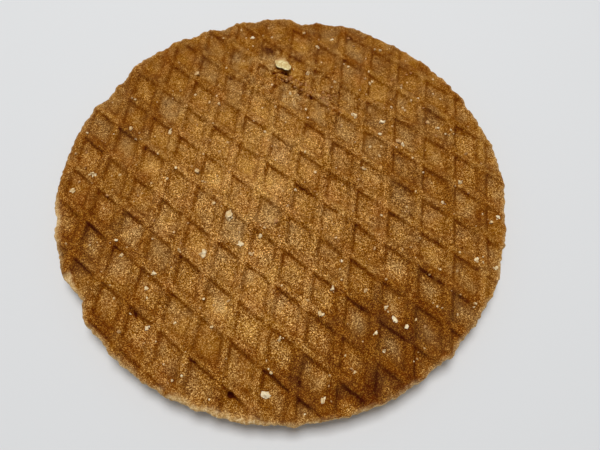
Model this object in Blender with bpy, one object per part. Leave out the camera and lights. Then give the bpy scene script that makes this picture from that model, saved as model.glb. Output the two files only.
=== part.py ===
"""Stroopwafel: two thin round waffles with a layer of caramel syrup between them.

Metres, +Z up. The origin is at the middle of the outline, on the surface that the lower waffle rests on.
"""

import math

import bmesh
import bpy
import numpy as np
from mathutils import Matrix, Vector

for old in list(bpy.data.objects):
    bpy.data.objects.remove(old)

# The round: a waffle is cut out with a round cutter and split, and syrup is spread between the halves.
RIM_RADIUS = 0.0500
WAFER_THICKNESS = 0.0023
SYRUP_THICKNESS = 0.0009
JOIN_GAP = 0.0003
LOWER_SETBACK = 0.0003
SYRUP_SETBACK = 0.0007
SYRUP_BULGE = 0.0003
RIM_POINTS = 180
SYRUP_POINTS = 120

# The iron's pattern: two families of straight ridges, which cross at about 60 degrees and leave pits between them.
RIDGE_PITCH = 0.00718
RIDGE_BASE_WIDTH = 0.0025
RIDGE_CREST_WIDTH = 0.0009
PIT_DEPTH = 0.0008
PIT_UNEVENNESS = 0.00014
CREST_WEAR = 0.00010
TOP_RIDGE_NORMALS = (54.5, -5.8)
TOP_RIDGE_PHASES = (0.42, 0.19)
LOWER_RIDGE_NORMALS = (51.0, -9.5)
LOWER_RIDGE_PHASES = (0.10, 0.65)

# What the rim has lost or gained: direction and half width in degrees, and depth in metres.
RIM_MARKS = (
    (8.0, 7.0, 0.00036),
    (20.5, 1.6, -0.00034),
    (38.5, 1.8, 0.00036),
    (47.5, 2.2, 0.00044),
    (72.0, 3.0, 0.00048),
    (81.5, 3.0, -0.00075),
    (88.0, 2.0, -0.00135),
    (97.0, 2.0, 0.00036),
    (103.0, 2.4, -0.00026),
    (112.8, 1.8, -0.00090),
    (121.0, 2.0, -0.00034),
    (126.5, 2.0, 0.00038),
    (139.5, 3.2, 0.00090),
    (149.0, 4.6, -0.00086),
    (166.0, 2.0, 0.00024),
    (186.0, 16.0, 0.00024),
    (215.5, 2.6, -0.00150),
    (233.0, 5.0, -0.00016),
    (274.0, 6.0, 0.00017),
    (293.0, 6.0, 0.00024),
    (303.0, 2.0, -0.00012),
    (338.0, 2.4, 0.00022),
    (346.0, 2.0, -0.00018),
    (356.0, 3.4, -0.00048),
)
CRUMBLE_DEPTH = 0.00005
CRUMBLE_WAVES = range(19, 61, 3)

# Damage on the top: a chipped edge, a torn flake that stands up over a hollow, and one burst bubble.
CHIP_DIRECTION = 210.5
CHIP_LENGTH = 0.0052
CHIP_REACH = 0.0019
CHIP_DROP = 0.0014
FLAKE_PLACE = (-0.0022, 0.0339)
FLAKE_SIZE = (0.0050, 0.0038, 0.0012)
FLAKE_TILT = -20.0
FLAKE_TURN = -38.0
FLAKE_RISE = 0.0001
HOLLOW_PLACE = (-0.0012, 0.0312)
HOLLOW_SIZE = (0.0036, 0.0016, 0.0022)
BUBBLE_PLACE = (-0.0074, -0.0448)
BUBBLE_WIDTH = 0.0014
BUBBLE_DEPTH = 0.0010

LOWER_FLOOR = 0.0
LOWER_INNER = LOWER_FLOOR + WAFER_THICKNESS
SYRUP_LOW = LOWER_INNER + JOIN_GAP
SYRUP_HIGH = SYRUP_LOW + SYRUP_THICKNESS
TOP_INNER = SYRUP_HIGH + JOIN_GAP
TOP_CREST = TOP_INNER + WAFER_THICKNESS
CUTTER_MARGIN = 0.0010


def rim_radius(angle, setback, seed):
    """The cutter's radius, less a setback, plus a bell curve for each mark and fine seeded waves for crumbling."""
    radius = np.full_like(angle, RIM_RADIUS - setback)
    for direction, half_width, depth in RIM_MARKS:
        away = (np.degrees(angle) - direction + 180.0) % 360.0 - 180.0
        radius += depth * np.exp(-0.5 * (away / half_width) ** 2)
    random = np.random.default_rng(seed)
    for wave in CRUMBLE_WAVES:
        radius += CRUMBLE_DEPTH * np.sin(wave * angle + random.uniform(0.0, 2.0 * math.pi))
    return radius


def rim_outline(count, setback, seed):
    """Points round the cut edge, in order, about the cutter's centre."""
    angle = np.linspace(0.0, 2.0 * math.pi, count, endpoint=False)
    radius = rim_radius(angle, setback, seed)
    return np.stack([radius * np.cos(angle), radius * np.sin(angle)], axis=1)


TOP_OUTLINE = rim_outline(RIM_POINTS, 0.0, seed=1)
MIDDLE = (TOP_OUTLINE.min(axis=0) + TOP_OUTLINE.max(axis=0)) / 2.0


def ridge_lines(phase):
    """Where a family's ridges have their edges, across the family, and which of those edges are on the crest."""
    reach = math.ceil(RIM_RADIUS / RIDGE_PITCH) + 1
    middles = (np.arange(-reach, reach + 1) + phase) * RIDGE_PITCH
    half_base = RIDGE_BASE_WIDTH / 2.0
    half_crest = RIDGE_CREST_WIDTH / 2.0
    edges = middles[:, None] + np.array([-half_base, -half_crest, half_crest, half_base])
    return edges.ravel(), np.tile([False, True, True, False], len(middles))


def patterned_slab(normals, phases, crest_height, inner_height, crest_wear, seed):
    """A slab wider than the waffle, with the iron's pattern on one face and the other face flat."""
    across_first, first_is_crest = ridge_lines(phases[0])
    across_second, second_is_crest = ridge_lines(phases[1])
    directions = np.array([[math.cos(math.radians(n)), math.sin(math.radians(n))] for n in normals])
    first, second = np.meshgrid(across_first, across_second, indexing="ij")
    across = np.stack([first.ravel(), second.ravel()])
    places = np.linalg.solve(directions, across).T - MIDDLE

    random = np.random.default_rng(seed)
    rows, columns = first.shape
    is_crest = first_is_crest[:, None] | second_is_crest[None, :]
    wear = random.uniform(0.0, crest_wear, (rows, columns))
    pits = random.uniform(-PIT_UNEVENNESS, PIT_UNEVENNESS, (rows // 4 + 1, columns // 4 + 1))
    pit_row = (np.arange(rows) + 1) // 4
    pit_column = (np.arange(columns) + 1) // 4
    depth = np.where(is_crest, wear, PIT_DEPTH + pits[np.ix_(pit_row, pit_column)])
    outwards = math.copysign(1.0, crest_height - inner_height)
    heights = crest_height - outwards * depth
    points = np.column_stack([places, heights.ravel()])

    index = np.arange(rows * columns).reshape(rows, columns)
    a = index[:-1, :-1]
    b = index[1:, :-1]
    c = index[1:, 1:]
    d = index[:-1, 1:]
    pit_at_a_or_c = (is_crest[:-1, :-1] != is_crest[1:, 1:]) & (is_crest[1:, :-1] == is_crest[:-1, 1:])
    split = pit_at_a_or_c.ravel()
    quads = np.stack([a, b, c, d], axis=-1).reshape(-1, 4)
    rounded = quads[split]
    plain = quads[~split]
    triangles = np.concatenate([
        rounded[:, [0, 1, 3]],
        rounded[:, [1, 2, 3]],
        plain[:, [0, 1, 2]],
        plain[:, [0, 2, 3]],
    ])

    mesh = bmesh.new()
    corners = [mesh.verts.new(p) for p in points]
    for triangle in triangles:
        mesh.faces.new([corners[i] for i in triangle])
    border = [edge for edge in mesh.edges if edge.is_boundary]
    skirt = bmesh.ops.extrude_edge_only(mesh, edges=border)["geom"]
    for corner in (part for part in skirt if isinstance(part, bmesh.types.BMVert)):
        corner.co.z = inner_height
    open_edges = [edge for edge in mesh.edges if edge.is_boundary]
    bmesh.ops.holes_fill(mesh, edges=open_edges, sides=0)
    bmesh.ops.recalc_face_normals(mesh, faces=mesh.faces)
    return mesh


def upright_prism(outline, low, high):
    """A prism over a closed outline."""
    mesh = bmesh.new()
    base = mesh.faces.new([mesh.verts.new((x, y, low)) for x, y in outline])
    top = bmesh.ops.extrude_face_region(mesh, geom=[base])["geom"]
    bmesh.ops.translate(
        mesh,
        verts=[part for part in top if isinstance(part, bmesh.types.BMVert)],
        vec=(0.0, 0.0, high - low),
    )
    bmesh.ops.recalc_face_normals(mesh, faces=mesh.faces)
    return mesh


def rounded_disc(rings):
    """A closed disc from outlines of equal length, stacked upwards as (outline, height)."""
    mesh = bmesh.new()
    loops = [[mesh.verts.new((x, y, height)) for x, y in outline] for outline, height in rings]
    for lower, upper in zip(loops, loops[1:]):
        for i in range(len(lower)):
            j = (i + 1) % len(lower)
            mesh.faces.new([lower[i], lower[j], upper[j], upper[i]])
    mesh.faces.new(list(reversed(loops[0])))
    mesh.faces.new(loops[-1])
    bmesh.ops.recalc_face_normals(mesh, faces=mesh.faces)
    return mesh


def new_object(name, mesh):
    """An object of its own for a mesh."""
    data = bpy.data.meshes.new(name)
    mesh.to_mesh(data)
    mesh.free()
    made = bpy.data.objects.new(name, data)
    bpy.context.scene.collection.objects.link(made)
    return made


def shape_with(target, operation, tool):
    """Cuts, keeps or joins by another object, which is then taken away."""
    tool.hide_render = True
    tool.display_type = "WIRE"
    step = target.modifiers.new(tool.name, "BOOLEAN")
    step.operation = operation
    step.solver = "EXACT"
    step.object = tool
    evaluated = target.evaluated_get(bpy.context.evaluated_depsgraph_get())
    shaped = bpy.data.meshes.new_from_object(evaluated)
    target.modifiers.clear()
    target.data = shaped
    bpy.data.objects.remove(tool)


def baked_material(name, red, green, blue, roughness):
    """A plain food surface; the colour is given in linear values."""
    material = bpy.data.materials.new(name)
    material.use_nodes = True
    surface = material.node_tree.nodes["Principled BSDF"]
    surface.inputs["Base Color"].default_value = (red, green, blue, 1.0)
    surface.inputs["Roughness"].default_value = roughness
    surface.inputs["Metallic"].default_value = 0.0
    return material


def finish(made, material):
    """Gives an object its material and smooth shading between its sharp edges."""
    made.data.materials.clear()
    made.data.materials.append(material)
    made.data.shade_smooth()
    made.data.set_sharp_from_angle(angle=math.radians(20.0))


def cut_round(slab, name, setback, low, high, seed):
    """Cuts a slab to the waffle's outline."""
    outline = rim_outline(RIM_POINTS, setback, seed) - MIDDLE
    cutter = upright_prism(outline, low - CUTTER_MARGIN, high + CUTTER_MARGIN)
    wafer = new_object(name, slab)
    shape_with(wafer, "INTERSECT", new_object("round_cutter", cutter))
    return wafer


def chip_cutter():
    """A block whose slanted under face takes the top crust off a short stretch of the rim."""
    slope = math.atan2(CHIP_DROP, CHIP_REACH)
    block = bmesh.new()
    size = Vector((4.0 * CHIP_REACH, CHIP_LENGTH, 3.0 * CHIP_DROP))
    bmesh.ops.create_cube(block, size=1.0, matrix=Matrix.Diagonal(size).to_4x4())
    raised = Matrix.Translation((0.0, 0.0, size.z / 2.0))
    leaning = Matrix.Rotation(slope, 4, "Y")
    direction = math.radians(CHIP_DIRECTION)
    inside_rim = RIM_RADIUS - CHIP_REACH
    start = Vector((inside_rim * math.cos(direction) - MIDDLE[0], inside_rim * math.sin(direction) - MIDDLE[1]))
    place = Matrix.Translation((start.x, start.y, TOP_CREST)) @ Matrix.Rotation(direction, 4, "Z")
    block.transform(place @ leaning @ raised)
    return block


def lump(place, size, height, tilt, turn):
    """A low-sided lens shape, tilted about its long side and turned about the vertical."""
    mesh = bmesh.new()
    bmesh.ops.create_icosphere(mesh, subdivisions=1, radius=0.5)
    spread = Matrix.Diagonal(Vector(size)).to_4x4()
    leaning = Matrix.Rotation(math.radians(tilt), 4, "X")
    turned = Matrix.Rotation(math.radians(turn), 4, "Z")
    moved = Matrix.Translation((place[0] - MIDDLE[0], place[1] - MIDDLE[1], height))
    mesh.transform(moved @ turned @ leaning @ spread)
    return mesh


def burst_bubble():
    """A small pointed pit."""
    mesh = bmesh.new()
    place = Matrix.Translation((BUBBLE_PLACE[0] - MIDDLE[0], BUBBLE_PLACE[1] - MIDDLE[1], TOP_CREST - PIT_DEPTH))
    bmesh.ops.create_cone(
        mesh,
        cap_ends=True,
        segments=8,
        radius1=BUBBLE_WIDTH * 0.3,
        radius2=BUBBLE_WIDTH * 0.7,
        depth=2.0 * BUBBLE_DEPTH,
        matrix=place,
    )
    return mesh


# The lower waffle, whose crests are the flat face that it rests on.
lower_slab = patterned_slab(LOWER_RIDGE_NORMALS, LOWER_RIDGE_PHASES, LOWER_FLOOR, LOWER_INNER, 0.0, seed=3)
bottom_wafer = cut_round(lower_slab, "bottom_wafer", LOWER_SETBACK, LOWER_FLOOR, LOWER_INNER, seed=2)
finish(bottom_wafer, baked_material("waffle_underside", 0.300, 0.126, 0.027, 0.80))

# The syrup, which ends a little inside the rim and bulges between the two waffles.
syrup_edges = [
    (rim_outline(SYRUP_POINTS, SYRUP_SETBACK + SYRUP_BULGE, seed=5) - MIDDLE, SYRUP_LOW),
    (rim_outline(SYRUP_POINTS, SYRUP_SETBACK, seed=5) - MIDDLE, (SYRUP_LOW + SYRUP_HIGH) / 2.0),
    (rim_outline(SYRUP_POINTS, SYRUP_SETBACK + SYRUP_BULGE, seed=5) - MIDDLE, SYRUP_HIGH),
]
syrup = new_object("syrup", rounded_disc(syrup_edges))
finish(syrup, baked_material("caramel_syrup", 0.120, 0.026, 0.004, 0.25))

# The top waffle, with its chipped edge, its torn flake and its burst bubble.
top_slab = patterned_slab(TOP_RIDGE_NORMALS, TOP_RIDGE_PHASES, TOP_CREST, TOP_INNER, CREST_WEAR, seed=4)
top_wafer = cut_round(top_slab, "top_wafer", 0.0, TOP_INNER, TOP_CREST, seed=1)
shape_with(top_wafer, "DIFFERENCE", new_object("edge_chip", chip_cutter()))
hollow = lump(HOLLOW_PLACE, HOLLOW_SIZE, TOP_CREST, 0.0, FLAKE_TURN)
shape_with(top_wafer, "DIFFERENCE", new_object("hollow", hollow))
shape_with(top_wafer, "DIFFERENCE", new_object("bubble", burst_bubble()))
flake = lump(FLAKE_PLACE, FLAKE_SIZE, TOP_CREST + FLAKE_RISE, FLAKE_TILT, FLAKE_TURN)
shape_with(top_wafer, "UNION", new_object("flake", flake))
finish(top_wafer, baked_material("waffle_top", 0.270, 0.112, 0.020, 0.75))
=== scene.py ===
"""Looks of a stroopwafel: its two waffle rounds, the syrup between them, and the crumbs on top."""

import math

import bpy
import numpy as np
from mathutils import Matrix, Vector


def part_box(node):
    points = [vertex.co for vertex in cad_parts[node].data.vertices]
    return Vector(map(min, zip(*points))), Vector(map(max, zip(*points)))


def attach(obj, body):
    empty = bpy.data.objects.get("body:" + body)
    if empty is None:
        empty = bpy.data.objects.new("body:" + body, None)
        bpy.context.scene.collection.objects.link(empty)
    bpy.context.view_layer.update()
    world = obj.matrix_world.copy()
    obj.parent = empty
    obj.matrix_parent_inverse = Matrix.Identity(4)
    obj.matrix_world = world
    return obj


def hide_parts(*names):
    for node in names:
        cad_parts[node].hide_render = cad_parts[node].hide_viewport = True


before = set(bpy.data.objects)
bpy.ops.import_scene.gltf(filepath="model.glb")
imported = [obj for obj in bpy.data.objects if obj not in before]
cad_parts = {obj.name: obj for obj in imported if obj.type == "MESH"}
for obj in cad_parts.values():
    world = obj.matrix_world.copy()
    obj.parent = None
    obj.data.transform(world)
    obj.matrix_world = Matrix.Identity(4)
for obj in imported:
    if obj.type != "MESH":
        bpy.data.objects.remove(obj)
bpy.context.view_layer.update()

# Lower waffle. It is the under half of a thin waffle, baked in an iron, cut round while hot and split flat.
# It lies on its ridges, with its split face up under the syrup.
CUTTER_CENTRE = np.array([0.00002, 0.00011])
RIM_RADIUS = 0.0500
RIM_ROUNDING = 0.0003
RIM_INSET = 0.00005
OUTLINE_SAMPLES = 2880
EDGE_SHARE = 0.9
FLATNESS = 1e-6
RIDGE_PITCH = 0.00718
CREST_WIDTH = 0.0006
BASE_WIDTH = 0.0032
LOWER_PIT_DEPTH = 0.0008
LOWER_LUMPS = 0.00014
LOWER_WEAR = 0.0002
LOWER_WEAR_REACH = 0.0003
LOWER_CUT_REACH = 0.0005
LOWER_NORMALS = (51.0, -9.5)
LOWER_PHASES = (0.10, 0.65)
LOWER_CELLS = 200
SIDE_STEPS = 9
OUTER_CURVE = 0.10
INNER_CURVE = 0.07
INNER_ROUNDING_SHARE = 0.6
SLOPE_CORNERS = 32

# Each layer of unevenness has a height, in rows for the waver, and the distance over which it changes.
RIM_FRAY = ((0.00045, 0.0016), (0.00030, 0.0007))
SIDE_ROUGHNESS = ((0.00024, 0.0012), (0.00016, 0.0005))
RIDGE_WAVER = ((0.030, 0.0090), (0.040, 0.0026))
RIDGE_SWELL = ((0.00050, 0.0018),)

# Dark bands of painted shade, over some browning, lie beside each crest; the strongest is on the near side of
# the first family's ridges. Each has its distance from the crest and its half width, both in rows, and then
# its darkness at the two ends of the pit.
RISING_BANDS = (
    (-0.129, 0.043, 1.566, 0.754),
    (-0.230, 0.100, 0.110, 0.110),
    (0.140, 0.080, 0.1815, 0.4455),
)
FALLING_BANDS = (
    (0.160, 0.047, 0.516, 1.204),
    (-0.145, 0.070, 0.559, 0.301),
)
PAST_CROSSING = 0.20
WALL_LIMIT = 0.22

# These are the sizes of the crust's grains and lumps, the spacing of its cracks, and how far they stand out.
SAND_SIZE = 0.00014
SPECK_SIZE = 0.00022
COARSE_SAND_SIZE = 0.00045
FLOUR_SIZE = 0.0007
LUMP_SIZE = 0.0020
CRACK_SPACING = 0.0040
CRUST_BUMPS = 0.00012


def uneven(points, size, seed):
    """Smooth random numbers, mostly within 0.5 of nought, that change over a distance of the given size.

    Each corner of a cubic grid has a random slope. A point takes the heights that the slopes of the eight
    corners round it would give there, blended by the curve 6t^5 - 15t^4 + 10t^3 along each axis.
    """
    random = np.random.default_rng(seed)
    slopes = random.normal(size=(SLOPE_CORNERS,) * 3 + (3,))
    slopes /= np.linalg.norm(slopes, axis=-1, keepdims=True)
    place = points / size + random.uniform(0.0, SLOPE_CORNERS, 3)
    corner = np.floor(place).astype(int)
    part = place - corner
    blend = part ** 3 * (part * (6.0 * part - 15.0) + 10.0)
    total = np.zeros(len(points))
    for step in np.ndindex(2, 2, 2):
        share = np.prod(np.where(step, blend, 1.0 - blend), axis=1)
        slope = slopes[tuple(((corner + step) % SLOPE_CORNERS).T)]
        total += share * np.einsum("ij,ij->i", slope, part - step)
    return total


def waves(points, layers, seed):
    """The sum of layers of uneven numbers, each times its height. The seed goes up by one for each layer."""
    return sum(height * uneven(points, size, seed + layer) for layer, (height, size) in enumerate(layers))


def flat(x, y):
    """Points of the plane as an array of three columns."""
    return np.column_stack([x, y, np.zeros_like(x)])


def smooth_step(value, low, high):
    """Nought below low, one above high, and the curve 3t^2 - 2t^3 between."""
    part = np.clip((value - low) / (high - low), 0.0, 1.0)
    return part * part * (3.0 - 2.0 * part)


def solid_points(node):
    """The points of a node's solid, measured from the cutter's centre."""
    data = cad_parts[node].data
    points = np.empty(len(data.vertices) * 3)
    data.vertices.foreach_get("co", points)
    return points.reshape(-1, 3) - [*CUTTER_CENTRE, 0.0]


def wavy_edge(points, samples, layers, seed):
    """Directions about the cutter's centre, and the radius in each of them of the points near the rim.

    It goes evenly from point to point, and layers of uneven numbers, taken on the rim's circle, make it wave.
    """
    edge = points[:, :2][np.hypot(points[:, 0], points[:, 1]) > EDGE_SHARE * RIM_RADIUS]
    angles = np.arctan2(edge[:, 1], edge[:, 0])
    order = np.argsort(angles)
    turns = np.linspace(-math.pi, math.pi, samples, endpoint=False)
    radii = np.interp(turns, angles[order], np.hypot(*edge[order].T), period=2.0 * math.pi)
    return turns, radii + waves(RIM_RADIUS * flat(np.cos(turns), np.sin(turns)), layers, seed)


def rows_across(x, y, normals, phases):
    """How many rows of ridges lie between each point and the cutter's centre, for either family.

    It is the distance along the family's normal, over the pitch, less a share of a row.
    """
    for normal, phase in zip(normals, phases):
        turn = math.radians(normal)
        yield (x * math.cos(turn) + y * math.sin(turn)) / RIDGE_PITCH - phase


def waver(x, y, rows, seed):
    """A count of rows with slow and quick random shifts, which make its ridges waver."""
    return rows + waves(flat(x, y), RIDGE_WAVER, seed)


def wall_step(x, y, rows, seed):
    """One family's share of the pits' full depth: nought on its crests, one from the foot of their walls on.

    The count of rows is whole on a crest. The distance to the nearest crest goes through a smooth step, and
    random numbers make the ridge wider here and narrower there.
    """
    away = np.abs(rows - np.round(rows)) * RIDGE_PITCH + waves(flat(x, y), RIDGE_SWELL, seed)
    return smooth_step(away, CREST_WIDTH / 2.0, BASE_WIDTH / 2.0)


def disc_grid(cells):
    """A square grid laid over the unit disc, as distances from the middle and directions.

    Each square ring of the grid becomes a circle. The direction along a side of the square is a quarter of pi
    times the ratio of the two coordinates, so all cells keep the same area and none meet at a pole.
    """
    side = np.linspace(-1.0, 1.0, cells + 1)
    u, v = np.meshgrid(side, side, indexing="ij")
    wide = np.abs(u) >= np.abs(v)
    longer = np.where(wide, u, v)
    shorter = np.where(wide, v, u)
    ratio = np.divide(shorter, longer, out=np.zeros_like(longer), where=longer != 0.0)
    turn = np.where(wide, ratio, 2.0 - ratio) * math.pi / 4.0
    turn = np.where(longer < 0.0, turn + math.pi, turn)
    return np.abs(longer).ravel(), turn.ravel()


def disc_faces(cells):
    """The grid's square faces, and the numbers of its border points, anticlockwise from one corner."""
    number = np.arange((cells + 1) ** 2).reshape(cells + 1, cells + 1)
    quads = np.stack([number[:-1, :-1], number[1:, :-1], number[1:, 1:], number[:-1, 1:]], axis=-1)
    border = np.concatenate([number[:-1, 0], number[-1, :-1], number[:0:-1, -1], number[0, :0:-1]])
    return quads.reshape(-1, 4), border


def between_rings(rings):
    """Square faces between each ring of point numbers and the next."""
    after = np.roll(rings, -1, axis=1)
    return np.stack([rings[:-1], rings[1:], after[1:], after[:-1]], axis=-1).reshape(-1, 4)


def fan(middle, ring):
    """Triangles between one middle point and a ring of point numbers."""
    return np.stack([np.full(len(ring), middle), ring, np.roll(ring, -1)], axis=-1)


def turned_over(faces):
    """The same faces, seen from their other side."""
    return np.roll(faces[:, ::-1], 1, axis=1)


def in_scene(name, data):
    """A new object with this data, linked to the scene."""
    made = bpy.data.objects.new(name, data)
    bpy.context.scene.collection.objects.link(made)
    return made


def new_piece(name, points, faces, fields, smooth=True):
    """An object at the origin from arrays of points and faces. A named field is a number at each point."""
    data = bpy.data.meshes.new(name)
    data.from_pydata(points.tolist(), [], [face for group in faces for face in group.tolist()])
    if smooth:
        data.shade_smooth()
    for field, values in fields.items():
        layer = data.attributes.new(field, "FLOAT", "POINT")
        layer.data.foreach_set("value", np.asarray(values, np.float32))
    return in_scene(name, data)


def wafer(name, node, cells, crest, inner, relief, seed):
    """One half of the waffle, closed all round.

    The patterned face is the disc grid, stretched to the rim, at the height that relief gives. Rings go down
    the side to the split face: their radius is held in by a falling exponential at each edge, and roughened
    by uneven numbers times half a sine. The split face is a fan. Past the rim the fields stay as they are on
    it, but all is cut.
    """
    up = math.copysign(1.0, crest - inner)
    solid = solid_points(node)
    split_edge = solid[np.abs(solid[:, 2] - inner) < FLATNESS]
    turns, radii = wavy_edge(split_edge, OUTLINE_SAMPLES, RIM_FRAY, 30)
    radii = radii - RIM_INSET
    reach, turn = disc_grid(cells)
    rim = np.interp(turn, turns, radii, period=2.0 * math.pi) - RIM_ROUNDING
    x = reach * rim * np.cos(turn)
    y = reach * rim * np.sin(turn)
    inside = (1.0 - reach) * rim
    depth, fields = relief(x, y, inside)
    face = np.column_stack([x, y, crest - up * depth])

    quads, border = disc_faces(cells)
    count = len(border)
    edge_turn = turn[border]
    edge_radius = np.interp(edge_turn, turns, radii, period=2.0 * math.pi)
    down = np.linspace(0.0, 1.0, SIDE_STEPS + 1)[1:, None]
    height = face[border, 2] + (inner - face[border, 2]) * down
    held = np.exp(-down / OUTER_CURVE) + INNER_ROUNDING_SHARE * np.exp(-(1.0 - down) / INNER_CURVE)
    around = np.column_stack([
        np.tile(edge_radius * np.cos(edge_turn), SIDE_STEPS),
        np.tile(edge_radius * np.sin(edge_turn), SIDE_STEPS),
        height.ravel(),
    ])
    rough = waves(around, SIDE_ROUGHNESS, seed).reshape(SIDE_STEPS, count) * np.sin(math.pi * down)
    radius = edge_radius - RIM_ROUNDING * held + rough - RIM_INSET
    side = np.stack([radius * np.cos(edge_turn), radius * np.sin(edge_turn), height], axis=-1).reshape(-1, 3)

    points = np.concatenate([face, side, [[0.0, 0.0, inner]]])
    points[:, :2] += CUTTER_CENTRE
    rings = np.vstack([border, len(face) + np.arange(SIDE_STEPS * count).reshape(SIDE_STEPS, count)])
    quads = np.concatenate([quads, between_rings(rings)])
    split_face = fan(len(points) - 1, rings[-1])
    if up > 0.0:
        split_face = turned_over(split_face)
    else:
        quads = quads[:, ::-1]

    all_fields = {}
    for field, values in fields.items():
        outer = np.ones(count) if field == "cut" else values[border]
        all_fields[field] = np.concatenate([values, np.tile(outer, SIDE_STEPS), outer[:1]])
    return new_piece(name, points, [quads, split_face], all_fields)


class Socket:
    """A value in a material's node tree. Arithmetic with numbers or other values adds a Math node."""

    def __init__(self, finish, output):
        self.finish = finish
        self.output = output

    def __add__(self, other):
        return self.finish.math("ADD", self, other)

    def __sub__(self, other):
        return self.finish.math("SUBTRACT", self, other)

    def __rsub__(self, other):
        return self.finish.math("SUBTRACT", other, self)

    def __mul__(self, other):
        return self.finish.math("MULTIPLY", self, other)

    def __truediv__(self, other):
        return self.finish.math("DIVIDE", self, other)

    __radd__ = __add__
    __rmul__ = __mul__


class Finish:
    """A material round one Principled surface, and the tree that its nodes go into."""

    def __init__(self, name, fixed):
        self.material = bpy.data.materials.new(name)
        self.material.use_nodes = True
        self.tree = self.material.node_tree
        self.surface = self.tree.nodes["Principled BSDF"]
        for socket, value in fixed.items():
            self.surface.inputs[socket].default_value = value

    def node(self, kind, settings=None, inputs=None, output=0):
        """Adds a node, applies its settings, then fills its sockets with numbers, colours or links."""
        made = self.tree.nodes.new(kind)
        for key, value in (settings or {}).items():
            if key == "stops":
                stops = made.color_ramp.elements
                while len(stops) < len(value):
                    stops.new(1.0)
                for stop, (position, colour) in zip(stops, value):
                    stop.position = position
                    stop.color = (*colour, 1.0)
            else:
                setattr(made, key, value)
        for key, value in (inputs or {}).items():
            self.put(made.inputs[key], value)
        return Socket(self, made.outputs[output])

    def put(self, socket, value):
        """Links a socket to a value of the tree, or sets it to a plain number or colour."""
        if isinstance(value, Socket):
            self.tree.links.new(value.output, socket)
        elif isinstance(value, tuple) and socket.type == "RGBA":
            socket.default_value = (*value, 1.0)
        else:
            socket.default_value = value

    def covers(self, socket, value):
        """Links one of the surface's own sockets to a value that changes over the piece."""
        self.put(self.surface.inputs[socket], value)

    def place(self):
        """Object coordinates, in metres."""
        return self.node("ShaderNodeTexCoord", output="Object")

    def field(self, name):
        """A number that the mesh carries at each point."""
        return self.node("ShaderNodeAttribute", {"attribute_name": name}, output="Fac")

    def noise(self, place, size, detail=3.0, roughness=0.6):
        """Smooth random numbers about nought that change over a distance of the given size in metres."""
        inputs = {"Vector": place, "Scale": 1.0 / size, "Detail": detail, "Roughness": roughness}
        return self.node("ShaderNodeTexNoise", {}, inputs) - 0.5

    def grains(self, place, size):
        """A random number about nought for every grain, in grains of the given size in metres."""
        inputs = {"Vector": place, "Scale": 1.0 / size}
        colour = self.node("ShaderNodeTexVoronoi", {}, inputs, output="Color")
        return self.node("ShaderNodeSeparateColor", {}, {"Color": colour}) - 0.5

    def step(self, value, low, high):
        """A smooth step from nought at low to one at high."""
        inputs = {"Value": value, "From Min": low, "From Max": high}
        return self.node("ShaderNodeMapRange", {"interpolation_type": "SMOOTHSTEP"}, inputs)

    def mix(self, share, first, second, blend="MIX"):
        """A colour between two others, or between the first and its product with the second.

        The node's sockets for colours are known by their numbers.
        """
        inputs = {"Factor": share, 6: first, 7: second}
        return self.node("ShaderNodeMix", {"data_type": "RGBA", "blend_type": blend}, inputs, output=2)

    def scale(self, colour, amount):
        """A colour that is so many times as bright."""
        return self.node("ShaderNodeVectorMath", {"operation": "SCALE"}, {0: colour, "Scale": amount})

    def add(self, first, second):
        """The sum of two colours."""
        return self.node("ShaderNodeVectorMath", {"operation": "ADD"}, {0: first, 1: second})

    def ramp(self, value, stops):
        """A colour from a list of stops, each with its position and the colour as it looks in the light."""
        shades = [(position, shade(*seen)) for position, *seen in stops]
        return self.node("ShaderNodeValToRGB", {"stops": shades}, {"Fac": value})

    def math(self, operation, value, other=0.0):
        """A Math node with one or two values."""
        return self.node("ShaderNodeMath", {"operation": operation}, {0: value, 1: other})

    def bumps(self, strength, distance, height):
        """Makes the surface look as if it stood out by the height times the distance in metres."""
        inputs = {"Strength": strength, "Distance": distance, "Height": height}
        self.covers("Normal", self.node("ShaderNodeBump", {}, inputs))

    def to_crest(self, rows):
        """How far the nearest crest is, in rows, below nought before it and above nought past it."""
        return rows - self.math("ROUND", rows)

    def off_ridge(self, rows):
        """Nought on the crests of one family of ridges, one past the foot of their walls."""
        away = self.math("ABSOLUTE", self.to_crest(rows))
        return self.step(away, CREST_WIDTH / 2.0 / RIDGE_PITCH, BASE_WIDTH / 2.0 / RIDGE_PITCH)

    def dark_bands(self, bands, rows, other_rows):
        """Painted shade and some browning beside one family's crests: for each band, a bell curve round its
        middle.

        Between two crests of the other family it goes evenly from the band's first darkness to its last.
        """
        along = self.math("FRACT", other_rows)
        total = 0.0
        for offset, half_width, first, last in bands:
            away = self.to_crest(rows - offset) / half_width
            curve = self.math("EXPONENT", -1.0 * away * away)
            total = total + curve * (first + (last - first) * along)
        return total

    def walls(self, rising, falling):
        """Painted shade and some browning on the pits' walls: both families' bands added, their sum bent to a
        limit.

        The bands are as strong as the mesh's shadows, and fade where a ridge of the other family crosses.
        """
        first = self.dark_bands(RISING_BANDS, rising, falling) * self.field("rising_shadow")
        first = first * (PAST_CROSSING + (1.0 - PAST_CROSSING) * self.off_ridge(falling))
        second = self.dark_bands(FALLING_BANDS, falling, rising) * self.field("falling_shadow")
        both = first + second * self.off_ridge(rising)
        return (1.0 + WALL_LIMIT) * both / (1.0 + WALL_LIMIT * both)


LIGHT_ON_TOP = 0.93


def shade(red, green, blue):
    """The linear colour of a surface that looks like this, in values of 0 to 255, under the light on the top.

    It undoes the display's curve and divides by the light.
    """
    seen = np.array([red, green, blue]) / 255.0
    linear = np.where(seen <= 0.04045, seen / 12.92, ((seen + 0.055) / 1.055) ** 2.4)
    return tuple(float(part) for part in linear / LIGHT_ON_TOP)


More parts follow.
